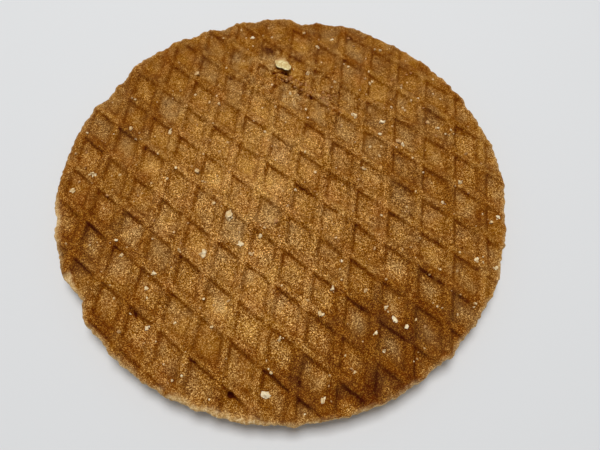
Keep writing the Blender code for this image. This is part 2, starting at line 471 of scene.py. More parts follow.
CRUST_STOPS = [
    (0.00, 66, 16, 0), (0.18, 101, 44, 0), (0.34, 119, 63, 0), (0.50, 140, 86, 5),
    (0.66, 160, 108, 33), (0.82, 180, 129, 52), (1.00, 198, 158, 96),
]
RUDDY_STOPS = [(0.00, 64, 15, 0), (0.34, 122, 61, 2), (0.66, 164, 104, 36), (1.00, 204, 155, 98)]
ASHEN_STOPS = [(0.00, 66, 22, 4), (0.34, 112, 68, 28), (0.66, 149, 110, 62), (1.00, 192, 160, 116)]
PALE_GRAIN_AND_GLINT = (0.435, 0.29, 0.112)
DULL_GRAIN = (0.33, 0.177, 0.022)
DARK_GRAIN = (0.36, 0.21, 0.0)
CRUMB_STOPS = [(0.10, 138, 92, 34), (0.45, 196, 155, 96), (0.75, 227, 195, 142), (1.00, 248, 226, 186)]


def waffle_finish(name):
    """Baked batter: paler with more tone, redder where it is ruddy, greyish where it is ashen.

    The walls of the pits, with painted shade over some browning, and the cracks take tone away, and a crack
    runs where a noise is nearly nought. Sand and specks are random grains: the lowest multiply the crust by a
    dark colour, the highest add a pale one, partly sugar and crumb and partly painted glints.
    Where the waffle is cut or chipped, the crust gives way to paler crumb. The weights were set one by one.
    """
    finish = Finish(name, {"Roughness": 0.8, "Specular IOR Level": 0.05})
    place = finish.place()
    sand = finish.grains(place, SAND_SIZE)
    coarse_sand = finish.grains(place, COARSE_SAND_SIZE)
    specks = finish.grains(place, SPECK_SIZE)
    flour = finish.noise(place, FLOUR_SIZE)
    lumps = finish.noise(place, LUMP_SIZE)
    line = finish.math("ABSOLUTE", finish.noise(place, CRACK_SPACING))
    crack = finish.field("crazed") * (1.0 - finish.step(line, 0.0, 0.025))

    tone = finish.field("tone") + finish.field("sandy") * (0.02 * coarse_sand + 0.15 * flour)
    # Painted shade, over some browning, darkens the walls of the pits.
    wall = finish.walls(finish.field("rising"), finish.field("falling"))
    wall = wall * finish.math("MAXIMUM", 1.0 + 1.3 * lumps + 0.9 * flour, 0.0)
    tone = tone - wall * (0.162 + 0.11 * tone) - 0.30 * crack
    sandy = finish.field("sandy") * (1.0 + flour) * finish.step(tone, -0.25, 0.55)
    sandy = sandy * (1.0 - 0.20 * finish.step(wall, 0.1, 1.1))
    dark_grain = 1.12 * sandy * (1.0 - finish.step(sand, -0.45, 0.15))
    dark_grain = dark_grain + 0.7 * sandy * (1.0 - finish.step(specks, -0.50, -0.42))
    # The pale grains are partly sugar and crumb, and partly painted glints.
    pale_grain_and_glint = sandy * (1.55 * finish.step(sand, 0.14, 0.50) + 1.1 * finish.step(specks, 0.42, 0.50))

    crust = finish.mix(finish.field("ruddy"), finish.ramp(tone, CRUST_STOPS), finish.ramp(tone, RUDDY_STOPS))
    crust = finish.mix(finish.field("ashen"), crust, finish.ramp(tone, ASHEN_STOPS))
    crust = finish.mix(dark_grain, crust, DARK_GRAIN, "MULTIPLY")
    bright = finish.mix(finish.step(tone, 0.25, 0.62), DULL_GRAIN, PALE_GRAIN_AND_GLINT)
    crust = finish.add(crust, finish.scale(bright, pale_grain_and_glint))
    crumb = finish.ramp(0.55 + 0.45 * sand + flour, CRUMB_STOPS)
    finish.covers("Base Color", finish.mix(finish.field("cut"), crust, crumb))
    finish.bumps(0.5, CRUST_BUMPS, 0.5 * sand + 0.5 * coarse_sand + 1.6 * flour - crack)
    return finish.material


def lower_relief(x, y, inside):
    """The lower waffle's depth and the fields that its finish reads.

    Depth is the product of both families' shares, plus uneven numbers, plus a falling exponential at the worn
    rim. Tone and tints are uneven numbers.
    """
    place = flat(x, y)
    rising, falling = rows_across(x, y, LOWER_NORMALS, LOWER_PHASES)
    rising = waver(x, y, rising, 36)
    falling = waver(x, y, falling, 38)
    share = wall_step(x, y, rising, 40) * wall_step(x, y, falling, 41)
    depth = LOWER_PIT_DEPTH * share
    depth += np.maximum(0.0, LOWER_LUMPS * uneven(place, 0.0015, 42) + 0.00002)
    depth += LOWER_WEAR * np.exp(-inside / LOWER_WEAR_REACH)
    tone = 0.56 + 0.04 * share + 0.16 * uneven(place, 0.012, 43) + 0.16 * uneven(place, 0.003, 44)
    shadow = 0.8 + 0.8 * uneven(place, 0.004, 47)
    ruddy = np.clip(0.5 + 1.5 * uneven(place, 0.004, 46), 0.0, 1.0)
    ashen = np.clip(0.15 + 0.6 * uneven(place, 0.008, 45), 0.0, 1.0)
    cut = 0.3 * np.exp(-inside / LOWER_CUT_REACH)
    return depth, dict(
        tone=tone, ruddy=ruddy, ashen=ashen, sandy=np.full_like(x, 0.8), crazed=np.full_like(x, 0.3), cut=cut,
        rising=rising, falling=falling, rising_shadow=shadow, falling_shadow=shadow,
    )


lower_low, lower_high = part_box("bottom_wafer")
lower_waffle = wafer(
    "lower_waffle", "bottom_wafer", LOWER_CELLS, lower_low.z, lower_high.z, lower_relief, seed=50
)
lower_waffle.data.materials.append(waffle_finish("lower_waffle_crust"))
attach(lower_waffle, "root")
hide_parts("bottom_wafer")

# Syrup. It is caramel, spread warm between the halves and pressed out almost to the rim. It has set to a
# soft, glossy layer that sticks to both of them.
SYRUP_RINGS = 9
SYRUP_TURNS = 900
SYRUP_WAVES = ((0.0006, 0.006), (0.0003, 0.0017))
SYRUP_BULGE = 0.00035
STREAK_SIZE = 0.0018
DUST_SIZE = 0.0005
SYRUP_BUMPS = 0.0002

top_low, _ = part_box("top_wafer")
TOP_INNER = top_low.z


def syrup_layer():
    """A disc of syrup that touches both waffles.

    Its radius is the solid's own, with random waves. Over its height the edge follows half a sine, so that it
    bulges out between the halves.
    """
    turn, edge = wavy_edge(solid_points("syrup"), SYRUP_TURNS, SYRUP_WAVES, 60)
    rise = np.linspace(0.0, 1.0, SYRUP_RINGS)[:, None]
    radius = edge + SYRUP_BULGE * (np.sin(math.pi * rise) - 1.0)
    height = np.broadcast_to(lower_high.z + (TOP_INNER - lower_high.z) * rise, radius.shape)
    side = np.stack([radius * np.cos(turn), radius * np.sin(turn), height], axis=-1).reshape(-1, 3)
    points = np.concatenate([side, [[0.0, 0.0, lower_high.z], [0.0, 0.0, TOP_INNER]]])
    points[:, :2] += CUTTER_CENTRE
    rings = np.arange(len(side)).reshape(SYRUP_RINGS, SYRUP_TURNS)
    low_fan = turned_over(fan(len(side), rings[0]))
    high_fan = fan(len(side) + 1, rings[-1])
    return new_piece("caramel", points, [turned_over(between_rings(rings)), low_fan, high_fan], {})


def caramel_finish():
    """Clear brown syrup: dark amber, streaky, and glossy where it isn't dusted with crumb."""
    finish = Finish("caramel_gloss", {
        "Specular IOR Level": 0.5,
        "Subsurface Weight": 0.15,
        "Subsurface Radius": (0.0010, 0.0004, 0.0001),
        "Subsurface Scale": 1.0,
    })
    place = finish.place()
    streak = finish.noise(place, STREAK_SIZE, 3.0, 0.55)
    dust = finish.step(finish.noise(place, DUST_SIZE, 2.0, 0.6), 0.12, 0.2)
    amber = finish.mix(finish.step(streak, -0.15, 0.2), shade(78, 30, 5), shade(136, 70, 18))
    finish.covers("Base Color", finish.mix(0.6 * dust, amber, shade(176, 128, 66)))
    finish.covers("Roughness", 0.22 + 0.45 * dust)
    finish.bumps(0.4, SYRUP_BUMPS, streak)
    return finish.material


caramel = syrup_layer()
caramel.data.materials.append(caramel_finish())
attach(caramel, "root")
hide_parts("syrup")

# Upper waffle. It is the half that shows: a sandy brown crust, darkest on the walls of its pits, where shade
# is painted over some browning, with burst bubbles, cracks, paler and browner patches, a chipped rim, and a
# hollow where a flake has torn up.
WAFER_THICKNESS = 0.0023
TOP_CREST = TOP_INNER + WAFER_THICKNESS
TOP_NORMALS = (54.5, -5.8)
TOP_PHASES = (0.42, 0.19)
TOP_PIT_DEPTH = 0.00090
TOP_WEAR = 0.00032
TOP_WEAR_REACH = 0.00045
TOP_CUT_REACH = 0.0004
TOP_BARE_REACH = 0.0008
TOP_CELLS = 280
TABLE_ROWS = 32
MM = 0.001

# Each of these has its middle and its half widths: two spots in every pit, in shares of it up and across, and
# the sandy part of the top. The first spot is the pit's lit middle, painted lighter for the shade that
# gathers near the walls.
LIT_MIDDLE = ((0.48, 0.53), (0.25, 0.25))
SHELTER = ((0.64, 0.32), (0.13, 0.16))
SANDY_PART = ((0.0, -0.014), (0.045, 0.036))

# Places are in millimetres from the cutter's centre, to the right and away. Each hollow then has its half
# length and half width, the direction of its length in degrees, and its depth, which is below nought where
# the crust is raised.
HOLLOWS = {
    "under the torn flake": (-1.4, 31.5, 1.4, 0.40, -15, 0.8),
    "thin crack left of that": (-4.0, 31.4, 1.6, 0.16, 3, 0.4),
    "crack before it": (-1.4, 29.3, 1.1, 0.28, -32, 0.5),
    "end of the crack": (2.2, 26.0, 0.9, 0.18, -35, 0.3),
    "pinhole in line with it": (5.3, 24.5, 0.4, 0.24, -20, 0.5),
    "crack nearer the middle": (-0.8, 20.8, 1.2, 0.18, -35, 0.4),
    "crust curled up left of the flake": (-4.7, 33.7, 1.1, 0.80, -50, -0.35),
    "crumbly crust before the crack": (1.6, 28.3, 1.9, 0.60, -42, -0.30),
    "crumbly crust right of the crack": (4.4, 27.0, 1.4, 0.50, -20, -0.25),
    "pale crumb by the pinhole": (4.6, 23.3, 0.9, 0.60, 10, -0.30),
    "burst bubble": (-7.5, -45.0, 0.62, 0.55, 0, 1.4),
    "small bubble beside it": (-6.3, -40.6, 0.25, 0.22, 0, 0.5),
    "pinhole at the middle": (15.7, 0.8, 0.30, 0.25, 0, 0.5),
    "pinhole at the left": (-45.5, -19.0, 0.30, 0.25, 0, 0.5),
    "pinhole at the right": (39.2, -12.9, 0.30, 0.25, 0, 0.5),
    "pinhole near the front": (-14.9, -39.4, 0.30, 0.22, 0, 0.5),
    "pit in the left half": (-28.0, -30.7, 0.60, 0.30, -45, 0.6),
    "pit in the far half": (-14.9, 29.4, 0.50, 0.30, -20, 0.5),
    "scratch by the pale cell": (-27.9, -11.9, 0.60, 0.22, 10, 0.35),
    "scratch left of it": (-32.6, -11.9, 0.60, 0.20, 15, 0.35),
    "pit below them": (-26.5, -24.8, 0.40, 0.30, 0, 0.35),
}

# Each patch has its place, its half length and half width, the direction of its length, and how much paler it
# is, or browner below nought. These fade out softly.
PATCHES = {
    "pale middle": (-8, 3, 12, 12, 10, 0.22),
    "dull right of the middle": (10, 4, 8, 6, 0, -0.08),
    "pale beyond that": (6, 18, 6, 6, 0, 0.06),
    "dull far right": (30, 18, 6, 6, 0, -0.06),
    "dull at the left of the middle": (-12, -6, 11, 5, 0, -0.08),
    "dull at the right": (30, -12, 6, 10, 0, -0.06),
    "pale in the front": (-6, -30, 6, 6, 0, 0.05),
    "dark by the front right rim": (29, -43, 6, 3.5, 40, -0.20),
    "pale by the far rim": (10, 40, 12, 6, 0, 0.05),
    "pale at the far left": (-30, 28, 5, 5, 0, 0.06),
    "pale streak across the front": (-4, -23, 15, 6.0, -38, 0.15),
    "dull left of the middle": (-24, -18, 12, 9, -30, -0.05),
    "dark front right": (23, -31, 15, 11, 20, -0.215),
    "dark cell in the front": (9, -30, 4, 3, -38, -0.12),
    "dark by the front rim": (6, -43, 6, 5, 0, -0.17),
    "dark right of it": (16, -42, 6, 5, 0, -0.15),
    "dark spot at the right": (33, -30, 5, 4, -30, -0.04),
    "dark left rim": (-42, -17, 6, 11, 0, -0.20),
    "dark beside the chip": (-31, -31, 6, 5, 0, -0.14),
    "dark far left": (-36, 16, 5, 15, -35, -0.12),
    "dark left front": (-17, -42, 5, 4, 0, -0.10),
    "dark by the far rim": (-30, 30, 7, 4, 45, -0.08),
    "dark right rim": (38, 4, 8, 12, 10, -0.07),
    "torn crust round the flake": (-4.0, 32.6, 4.0, 2.6, -20, 0.10),
    "dark far corner of the front right": (24, -44, 10, 5, 20, -0.20),
}

# These cells have a sharper edge, and show most on the floors of the pits. Two are scorches.
CELLS = {
    "palest": (-11.7, -28.6, 2.9, 2.3, 0, 0.26),
    "left": (-27.0, -11.5, 2.8, 2.2, 20, 0.24),
    "beside it": (-31.7, -13.3, 2.2, 1.9, 0, 0.20),
    "left of the middle": (-17.0, -16.5, 2.2, 1.7, 0, 0.16),
    "beyond it": (-30.0, 2.8, 2.0, 1.6, 0, 0.16),
    "near the left rim": (-33.5, -21.6, 2.4, 1.8, 0, 0.16),
    "middle": (-12.8, -13.5, 1.8, 1.4, 0, 0.18),
    "right of the middle": (9.6, -6.6, 2.0, 1.5, 0, 0.14),
    "by the front rim": (10.4, -41.4, 2.4, 1.6, 0, 0.26),
    "right": (23.6, -19.0, 2.4, 1.8, 0, 0.18),
    "scorch beyond the flake": (-6.0, 38.8, 1.9, 1.2, -45, -0.42),
    "scorch right of the flake": (2.4, 36.4, 1.8, 1.2, -30, -0.26),
}

# These are greyish, or golden below nought.
ASHEN_PATCHES = {
    "front right": (23, -30, 13, 9, 0, 0.45),
    "left": (-38, 8, 7, 12, 0, 0.25),
    "round the flake": (-2, 37, 7, 4, 0, 0.30),
    "beyond the flake": (-6.0, 38.8, 2, 1.5, 0, 0.90),
    "right": (34, 14, 9, 14, 0, 0.15),
    "middle, which is golden": (-6, 2, 14, 12, 0, -0.35),
    "front left, golden": (-14, -32, 14, 10, 0, -0.35),
}
CHIP_DIRECTION = math.radians(210.5)
CHIP_HALF_LENGTH = 0.0026
CHIP_REACH = 0.0019
CHIP_DROP = 0.0014
CHIP_SLOPE = 0.0008


def ellipse_distance(x, y, centre_x, centre_y, half_length, half_width, turn):
    """Distance from a turned ellipse's centre, one at its edge. Its sizes are in millimetres and degrees."""
    turn = math.radians(turn)
    right = x / MM - centre_x
    away = y / MM - centre_y
    along = (right * math.cos(turn) + away * math.sin(turn)) / half_length
    across = (away * math.cos(turn) - right * math.sin(turn)) / half_width
    return np.hypot(along, across)


def bell(first, second, middle, half_width):
    """A bell curve: e to minus the sum of two squares, counted from the middle in half widths."""
    return np.exp(-(((first - middle[0]) / half_width[0]) ** 2) - ((second - middle[1]) / half_width[1]) ** 2)


def top_rows(x, y):
    """Both families' counts of rows on the top, which waver and are bent a little.

    The bends are a slope and a square of the place, and smooth steps that shift the rows near the far rim.
    """
    rising, falling = rows_across(x, y, TOP_NORMALS, TOP_PHASES)
    far_middle = smooth_step(y, 0.026, 0.040) * smooth_step(-np.abs(x + 0.008), -0.016, -0.006)
    far_right = smooth_step(y, 0.0, 0.036) * smooth_step(x, -0.005, 0.025)
    rising = waver(x, y, rising + 0.035 + 1.25 * y - 30.0 * x ** 2 + 0.035 * far_middle, 60)
    falling = waver(x, y, falling - 0.02 + 0.9 * x + 0.08 * far_right, 62)
    return rising, falling


def own_numbers(rising, falling, rising_step, falling_step):
    """Random numbers for each pit, each stretch of ridge between two crossings, and each crossing.

    The whole parts of the two counts of rows name a pit, and the nearest whole number names a ridge. The
    tables have more rows than the waffle.
    """
    table = (TABLE_ROWS, TABLE_ROWS)
    row, column = (np.floor(rows).astype(int) % TABLE_ROWS for rows in (rising, falling))
    nearest_row, nearest_column = (np.round(rows).astype(int) % TABLE_ROWS for rows in (rising, falling))
    random = np.random.default_rng(71)
    own = {
        "depth": random.uniform(0.75, 1.08, table)[row, column],
        "tone": random.normal(0.0, 0.030, table)[row, column],
        "ash": random.normal(0.06, 0.24, table)[row, column],
        "lit_middle": random.uniform(0.01, 0.15, table)[row, column],
        "rising ridge": random.normal(0.0, 0.065, table)[nearest_row, column],
        "falling ridge": random.normal(0.0, 0.050, table)[row, nearest_column],
        "crossing": random.normal(0.0, 0.070, table)[nearest_row, nearest_column],
        "wall": random.normal(1.0, 0.20, table)[nearest_row, column],
        "sand": random.normal(0.0, 0.10, table)[row, column],
        "redness": random.normal(0.0, 0.18, table)[row, column],
    }
    ridges = own["rising ridge"] * (1.0 - rising_step) * falling_step
    ridges += own["falling ridge"] * (1.0 - falling_step) * rising_step
    own["ridges"] = ridges + own["crossing"] * (1.0 - rising_step) * (1.0 - falling_step)
    return own


def top_relief(x, y, inside):
    """The upper waffle's depth at each point, and the fields that its finish reads.

    Depth is the product of both families' steps times a number for each pit, plus uneven numbers, a bell
    curve for each hollow and a slope at the chip. Tone grows in the lit middle of each pit, which is painted
    light against the painted shade and some browning near the walls, falls towards the far side and the rim,
    and follows the patches. Brown patches act most on walls and ridges, ashen ones on the middles of the
    pits.
    The finish paints shade, over some browning, on the walls, from the rows and the strength of the shadows.
    Weights that have no name were given one by one.
    """
    place = flat(x, y)
    rising, falling = top_rows(x, y)
    rising_step = wall_step(x, y, rising, 64)
    falling_step = wall_step(x, y, falling, 65)
    share = rising_step * falling_step
    own = own_numbers(rising, falling, rising_step, falling_step)
    slow = uneven(place, 0.011, 72)
    lumps = uneven(place, 0.0032, 73)
    small = uneven(place, 0.0013, 74)
    tiny = uneven(place, 0.0008, 79)
    strength = np.clip(1.05 - 5.0 * np.maximum(y, 0.0) + 0.3 * slow, 0.7, 1.15)
    strength *= 0.5 + 0.5 * smooth_step(inside, 0.0, 0.0035)
    depth = TOP_PIT_DEPTH * share * own["depth"] * strength
    depth += np.maximum(0.0, 0.00018 * lumps + 0.00016 * small + 0.00010 * tiny + 0.00006)
    worn = 0.8 + 1.2 * uneven(place, 0.0016, 75)
    depth += TOP_WEAR * np.exp(-inside / TOP_WEAR_REACH) * worn

    in_the_pit = (rising - np.floor(rising), falling - np.floor(falling))
    lit_middle = bell(*in_the_pit, *LIT_MIDDLE)
    # Painted shade: the first family's wall shadows are stronger in the near half of the top and weaker in
    # the far half.
    nearer = smooth_step(-y, 0.008, 0.032) - 1.1 * smooth_step(y, 0.010, 0.035)
    falling_shadow = strength * (1.0 + 1.2 * uneven(place, 0.0040, 76))
    rising_shadow = falling_shadow * (1.05 + 0.26 * nearer) * np.clip(own["wall"], 0.4, 1.5)
    rising_shadow *= 1.0 - 0.15 * smooth_step(x, 0.010, 0.035)

    # Painted light: the middle of each pit is lighter than its edges, for the shade near the walls and in
    # part their browning.
    tone = 0.555 - 0.010 * share + (own["lit_middle"] - 0.033) * lit_middle + own["tone"] * share + own["ridges"]
    tone = tone - (0.010 + 0.03 * np.abs(nearer)) * (1.0 - rising_step) - 0.015 * (1.0 - falling_step)
    tone = tone + 0.10 * slow + 0.16 * lumps + 0.11 * small + (0.15 - 0.07 * share) * tiny
    crazed = np.exp(-(ellipse_distance(x, y, 1, 29, 15, 8, -25) ** 2))
    tone += crazed * (0.30 * small + 0.35 * tiny)
    depth += 0.00025 * crazed * np.abs(small + tiny)
    tone = tone - 0.6 * y - 0.04 * smooth_step(-inside, -0.016, 0.0)
    tone += 0.06 * smooth_step(-inside, -0.0014, 0.0)
    for *shape, change in PATCHES.values():
        change = change * (1.0 if change > 0.0 else 1.20 - 0.85 * lit_middle)
        tone += change * np.exp(-(ellipse_distance(x, y, *shape) ** 2)) * (1.0 + 1.4 * lumps)
    for *shape, change in CELLS.values():
        tone += change * np.exp(-(ellipse_distance(x, y, *shape) ** 4)) * (0.3 + 0.7 * share)

    bare_crust = np.zeros_like(x)
    for *shape, deep in HOLLOWS.values():
        hole = np.exp(-(ellipse_distance(x, y, *shape) ** 3))
        depth += deep * MM * hole
        # Painted shade: each hollow is darker, the deeper the darker; raised crust is paler crumb.
        tone += (0.20 if deep < 0.0 else -0.35 - 0.45 * deep) * hole
        bare_crust += max(deep, 0.0) * hole

    ashen = 0.10 + 0.4 * uneven(place, 0.008, 77) + 0.9 * uneven(place, 0.0030, 78) + own["ash"] * share
    ashen = ashen + 0.1 * smooth_step(y, 0.0, 0.04) + 0.9 * crazed * small
    ashen = ashen + 0.35 * bell(*in_the_pit, *SHELTER) - 0.05
    for *shape, change in ASHEN_PATCHES.values():
        change = change * (1.0 if change < 0.0 else 0.25 + 1.1 * lit_middle)
        ashen += change * np.exp(-(ellipse_distance(x, y, *shape) ** 2))

    ruddy = 0.34 + (own["redness"] - 0.16) * share + 1.3 * uneven(place, 0.0038, 83)
    ruddy = ruddy - 0.15 * smooth_step(y, -0.005, 0.025) - 0.10 * smooth_step(x, 0.015, 0.035)
    ruddy = np.clip(ruddy, 0.0, 1.0)
    sandy = 0.56 + 0.40 * bell(x, y, *SANDY_PART) - 0.14 * smooth_step(y, 0.026, 0.040)
    sandy *= np.clip(1.0 + own["sand"] * share + 0.40 * uneven(place, 0.0050, 84), 0.3, 1.7)
    sandy *= np.clip(1.0 - bare_crust, 0.0, 1.0)

    along = -x * math.sin(CHIP_DIRECTION) + y * math.cos(CHIP_DIRECTION)
    out = x * math.cos(CHIP_DIRECTION) + y * math.sin(CHIP_DIRECTION)
    chipped = smooth_step(0.0004 * small - np.abs(along), -CHIP_HALF_LENGTH, CHIP_SLOPE - CHIP_HALF_LENGTH)
    slope = np.clip((out - (RIM_RADIUS - CHIP_REACH)) / CHIP_REACH + 0.25 * small, 0.0, 1.2)
    depth = np.maximum(depth, CHIP_DROP * slope * chipped)
    cut = 0.62 * np.exp(-((inside / TOP_CUT_REACH) ** 2)) * (0.6 + 1.2 * uneven(place, 0.0030, 82))
    bare_front = smooth_step(-np.abs(x + 0.0110), -0.0110, -0.0080) * smooth_step(-y, 0.036, 0.042)
    bare_left = smooth_step(-np.abs(y + 0.0115), -0.0065, -0.0040) * smooth_step(-x, 0.040, 0.045)
    bare = bare_front * (0.7 + 1.6 * small) + 0.7 * bare_left
    cut += bare * np.exp(-((inside / TOP_BARE_REACH) ** 2))
    cut = np.clip(cut + chipped * smooth_step(slope, 0.05, 0.35), 0.0, 1.0)
    crazed = np.clip(0.25 + 0.8 * slow + crazed, 0.0, 1.0)
    return depth, dict(
        tone=tone, ruddy=ruddy, ashen=np.clip(ashen, 0.0, 1.0), sandy=sandy, crazed=crazed, cut=cut,
        rising=rising, falling=falling, rising_shadow=rising_shadow, falling_shadow=falling_shadow,
    )


upper_waffle = wafer("upper_waffle", "top_wafer", TOP_CELLS, TOP_CREST, TOP_INNER, top_relief, seed=80)
upper_waffle.data.materials.append(waffle_finish("upper_waffle_crust"))
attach(upper_waffle, "root")
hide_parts("top_wafer")

# Torn flake. It is a scale of crust that has blistered, torn along its near edge and curled up, so that its
# pale inner crumb shows. Its place and sizes are in millimetres.
FLAKE_PLACE = (-2.2, 33.9)
FLAKE_HALF_LENGTH = 2.4
FLAKE_HALF_WIDTH = 1.6
FLAKE_THICKNESS = 0.40
FLAKE_RISE = 0.90
FLAKE_TURN = -46.0
FLAKE_WAVES = ((0.28, 0.9), (0.26, 0.30))
FLAKE_RINGS = 14
FLAKE_TURNS = 72
FLAKE_MIDDLE = 0.75

# The grains and lumps of dry crumb, and how far they stand out, are in metres.
CRUMB_SAND_SIZE = 0.00030
CRUMB_LUMP_SIZE = 0.0013
CRUMB_BUMPS = 0.0001


def torn_flake():
    """A thin curled scale, closed all round.

    Its outline is an egg, narrower at its right end, with random waves. Its upper face is a dome that climbs
    towards the near edge. Its lower face lies under it at the scale's thickness, which thins to nothing at
    the outline.
    """
    reach = np.linspace(0.0, 1.0, FLAKE_RINGS)[1:, None]
    turn = np.linspace(0.0, 2.0 * math.pi, FLAKE_TURNS, endpoint=False)
    ring = flat(np.cos(turn), np.sin(turn))
    wave = 1.0 + waves(ring, FLAKE_WAVES, 90)
    along = FLAKE_HALF_LENGTH * reach * wave * np.cos(turn)
    across = FLAKE_HALF_WIDTH * reach * wave * np.sin(turn) * (1.0 - 0.30 * np.cos(turn))
    lift = FLAKE_MIDDLE - 0.20 * across / FLAKE_HALF_WIDTH + 0.10 * along / FLAKE_HALF_LENGTH
    crown = FLAKE_RISE * (lift - 0.35 * reach ** 2)
    rough = 0.30 * uneven(np.column_stack([along.ravel(), across.ravel(), crown.ravel()]), 1.1, 92)
    crown = crown + rough.reshape(crown.shape)
    under = crown - FLAKE_THICKNESS * np.sqrt(np.clip(1.0 - reach ** 4, 0.0, 1.0))
    spin = math.radians(FLAKE_TURN)
    right = FLAKE_PLACE[0] + along * math.cos(spin) - across * math.sin(spin)
    away = FLAKE_PLACE[1] + along * math.sin(spin) + across * math.cos(spin)
    upper = np.stack([right, away, crown], axis=-1).reshape(-1, 3)
    lower = np.stack([right, away, under], axis=-1)[:-1].reshape(-1, 3)
    middle = FLAKE_RISE * FLAKE_MIDDLE
    ends = [[*FLAKE_PLACE, middle], [*FLAKE_PLACE, middle - FLAKE_THICKNESS]]
    points = np.concatenate([upper, lower, ends]) * MM + [*CUTTER_CENTRE, TOP_CREST]
    above = np.arange(len(upper)).reshape(-1, FLAKE_TURNS)
    beneath = np.concatenate([len(upper) + np.arange(len(lower)).reshape(-1, FLAKE_TURNS), above[-1:]])
    faces = [between_rings(above), turned_over(between_rings(beneath))]
    faces += [fan(len(points) - 2, above[0]), turned_over(fan(len(points) - 1, beneath[0]))]
    pale = np.full(len(points), 0.35)
    torn = smooth_step(along / FLAKE_HALF_LENGTH - 0.35 * across / FLAKE_HALF_WIDTH, -1.2, 0.2)
    # The rim of the upper face is paler on its lifted near side: pale torn crumb, and in part a painted
    # highlight.
    pale[:len(upper)] = (0.22 + 0.28 * torn + 0.22 * reach ** 3 * np.cos(turn + 0.9)).ravel()
    return new_piece("torn_flake", points, faces, {"pale": pale})


def crumb_finish(name, stops):
    """Dry, pale inside of the waffle, with browner grains. The mesh says how pale each point is."""
    finish = Finish(name, {"Roughness": 0.8, "Specular IOR Level": 0.15})
    place = finish.place()
    sand = finish.grains(place, CRUMB_SAND_SIZE)
    soft = finish.noise(place, CRUMB_LUMP_SIZE, 2.0, 0.5)
    pale = finish.field("pale") + 0.30 * sand + 0.8 * soft
    finish.covers("Base Color", finish.ramp(pale, stops))
    finish.bumps(0.4, CRUMB_BUMPS, sand + soft)
    return finish.material


FLAKE_STOPS = [(0.00, 160, 106, 54), (0.20, 190, 148, 92), (0.50, 214, 192, 132), (0.80, 244, 232, 184)]
flake = torn_flake()
flake.data.materials.append(crumb_finish("torn_flake_crumb", FLAKE_STOPS))
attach(flake, "root")
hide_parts("top_wafer")

# Crumbs. They are bits of pale inner waffle and sugar that broke off other ones and lie loose on the top, the
# largest in little heaps. Their places and sizes are in millimetres.
CRUMB_RINGS = 3
CRUMB_TURNS = 6
CRUMB_SIZES = (0.11, 0.82)
CRUMB_FLATNESS = 0.70
CRUMB_LIFT = 0.35
HEAP_CRUMBS = 6
LARGEST_IN_HEAP = 0.78
SMALL_CRUMBS = 340
SMALL_CRUMB_SIZE = 0.22
SMALL_CRUMB_SPREAD = 0.35
CRUMBLY_RADIUS = 48.5
BUBBLE_CLEARANCE = 1.8
LINE_CRUMBS = 70
LINE_START = (-2.5, 30.5)
LINE_RUN = (13.0, -7.0)
LINE_SCATTER = 1.1
LARGE_CRUMBS = {
    "heaps left of the middle": [(-11.4, -8.0, 1.05), (-16.0, -17.2, 1.05)],
    "before the middle": [(-4.2, -12.5, 0.60), (-8.4, -14.5, 0.65), (-5.9, -16.8, 0.50)],
    "by the front rim": [(-0.9, -44.8, 0.85)],
    "front right heap": [(23.9, -29.1, 0.80), (22.2, -26.9, 0.60), (20.0, -32.3, 0.50), (26.2, -30.8, 0.55)],
    "right": [(39.8, 2.6, 0.60), (41.8, -15.7, 0.60)],
    "right rim": [(45.7, -17.3, 0.60), (40.4, -25.4, 0.50), (47.6, -5.4, 0.60)],
    "right of the middle": [(17.8, 5.4, 0.55)],
    "far heap": [(16.1, 19.6, 0.85), (22.7, 18.4, 0.80), (21.9, 14.5, 0.60)],
    "far right": [(27.2, 12.2, 0.75), (36.0, 17.6, 0.55), (35.5, -2.6, 0.55)],
    "front": [(1.2, -34.1, 0.60), (8.9, -29.0, 0.65), (11.3, -23.6, 0.60), (13.2, -17.4, 0.50)],
    "round the middle": [(-18.1, -0.3, 0.45), (2.6, -0.9, 0.45)],
    "left": [(-33.2, -18.4, 0.50), (-25.3, -33.4, 0.45)],
    "left rim": [(-46.7, -3.8, 0.75), (-42.8, 0.2, 0.75)],
    "far left": [(-27.5, 12.5, 0.65)],
    "front rim": [(9.9, -45.3, 0.55)],
    "front left": [(-21.1, -16.9, 0.55), (-25.4, -22.2, 0.45)],
    "right of the flake": [(4.2, 31.6, 0.50), (6.3, 40.4, 0.45)],
    "far rim": [(10.0, 43.5, 0.45), (-10.5, 43.0, 0.50)],
}


